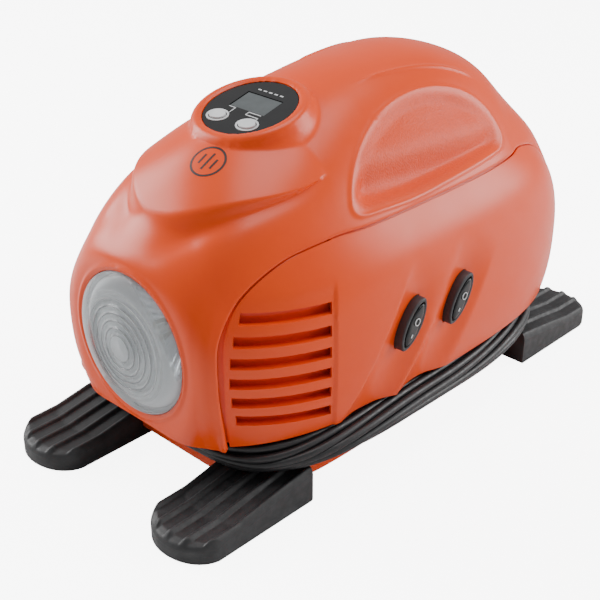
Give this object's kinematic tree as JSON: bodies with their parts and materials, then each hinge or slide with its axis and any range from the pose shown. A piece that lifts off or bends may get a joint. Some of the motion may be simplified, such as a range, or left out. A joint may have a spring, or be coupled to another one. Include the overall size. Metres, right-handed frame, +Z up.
{
  "type": "portable tire inflator",
  "caption": "Rounded portable air pump with a front lamp, tilted pressure display, side rocker switches, louvred panels, splayed rubber feet and a cord wound round its neck.",
  "frame": {"origin": "on the ground at the middle of the footprint, level with the undersides of the feet", "axes": "+Z up, -Y towards the lamp, +X towards the side with the rocker switches"},
  "size_m": [0.1827, 0.362, 0.2041],
  "materials": {
    "orange_plastic": "semi-gloss moulded plastic",
    "black_rubber": "matte moulded rubber",
    "cord_rubber": "satin cord sheath",
    "clear_lens": "clear moulded lens",
    "reflector_chrome": "bright metallised",
    "warm_glass": "clear bulb glass",
    "nylon_white": "natural nylon",
    "black_gloss": "gloss",
    "grey_display": "display film",
    "white_plastic": "satin",
    "dark_grey_plastic": "fine grain",
    "circuit_board": "solder mask",
    "steel": "turned",
    "zinc_plate": "zinc plated",
    "cast_aluminium": "die cast",
    "brass": "turned"
  },
  "bodies": {
    "housing": {"top_cover": "orange_plastic", "right_side_panel": "orange_plastic", "left_side_panel": "orange_plastic", "base_tray": "orange_plastic", "stowage_rack": "orange_plastic", "foot_front_right": "black_rubber", "foot_front_left": "black_rubber", "foot_rear_right": "black_rubber", "foot_rear_left": "black_rubber", "screw_front_right": "steel", "screw_front_left": "steel", "screw_rear_right": "steel", "screw_rear_left": "steel", "cord_gland": "black_rubber", "hose_gland": "black_rubber", "cord_bundle": "cord_rubber", "plug_cord": "cord_rubber", "air_hose": "black_rubber", "lamp_lens": "clear_lens", "lamp_reflector": "reflector_chrome", "lamp_bulb": "warm_glass", "lamp_socket": "nylon_white", "display_panel": "black_gloss", "display_window": "grey_display", "display_board": "circuit_board", "front_switch_frame": "dark_grey_plastic", "rear_switch_frame": "dark_grey_plastic", "front_switch_body": "dark_grey_plastic", "rear_switch_body": "dark_grey_plastic", "gear_frame": "cast_aluminium", "motor_can": "zinc_plate", "motor_end_cap": "dark_grey_plastic", "cylinder": "cast_aluminium", "cylinder_head": "cast_aluminium", "outlet_elbow": "brass", "inner_hose": "black_rubber", "pressure_sensor": "brass", "power_supply_board": "circuit_board", "chuck_body": "black_gloss", "chuck_pin": "steel", "dc_plug_body": "dark_grey_plastic"},
    "rotor": {"motor_shaft": "steel", "motor_pinion": "brass", "cooling_fan": "black_gloss"},
    "crank": {"crank_gear": "zinc_plate", "crank_shaft": "steel", "crank_pin": "steel"},
    "piston_assembly": {"piston": "cast_aluminium", "piston_cup": "black_rubber", "wrist_pin": "steel"},
    "rod": {"connecting_rod": "zinc_plate"},
    "front_rocker_key": {"front_rocker": "black_gloss"},
    "rear_rocker_key": {"rear_rocker": "black_gloss"},
    "units_key": {"units_button": "white_plastic"},
    "set_key": {"set_button": "white_plastic"},
    "clamp_lever": {"chuck_lever": "steel"},
    "sprung_tip": {"dc_plug_tip": "steel"}
  },
  "joints": [
    {"name": "crank_spin", "type": "hinge", "parent": "housing", "child": "crank", "pos_m": [-0.012, -0.009, 0.078], "axis": [0, 1, 0], "continuous": true},
    {"name": "motor_spin", "type": "hinge", "parent": "housing", "child": "rotor", "pos_m": [0.0255, -0.009, 0.078], "axis": [0, 1, 0], "continuous": true},
    {"name": "piston_slide", "type": "slide", "parent": "housing", "child": "piston_assembly", "axis": [0, 0, 1], "range_m": [-0.018, 0]},
    {"name": "rod_swing", "type": "hinge", "parent": "piston_assembly", "child": "rod", "pos_m": [-0.012, -0.0475, 0.131], "axis": [0, 1, 0], "range_deg": [-12, 12]},
    {"name": "front_rocker_tilt", "type": "hinge", "parent": "housing", "child": "front_rocker_key", "pos_m": [0.08881, -0.03, 0.085], "axis": [0, 0.8387, -0.5446], "range_deg": [-7, 7]},
    {"name": "rear_rocker_tilt", "type": "hinge", "parent": "housing", "child": "rear_rocker_key", "pos_m": [0.08896, 0.011, 0.085], "axis": [0, 0.8387, -0.5446], "range_deg": [-7, 7]},
    {"name": "units_press", "type": "slide", "parent": "housing", "child": "units_key", "axis": [0, 0.2538, -0.9673], "range_m": [0, 0.001]},
    {"name": "set_press", "type": "slide", "parent": "housing", "child": "set_key", "axis": [0, 0.2538, -0.9673], "range_m": [0, 0.001]},
    {"name": "chuck_lever_lift", "type": "hinge", "parent": "housing", "child": "clamp_lever", "pos_m": [0.009, 0.17, 0.028], "axis": [0, 1, 0], "range_deg": [0, 85]},
    {"name": "plug_tip_press", "type": "slide", "parent": "housing", "child": "sprung_tip", "axis": [1, 0, 0], "range_m": [0, 0.002]}
  ],
  "couplings": [
    {"joint": "crank_spin", "follows": "motor_spin", "ratio": -0.25}
  ]
}
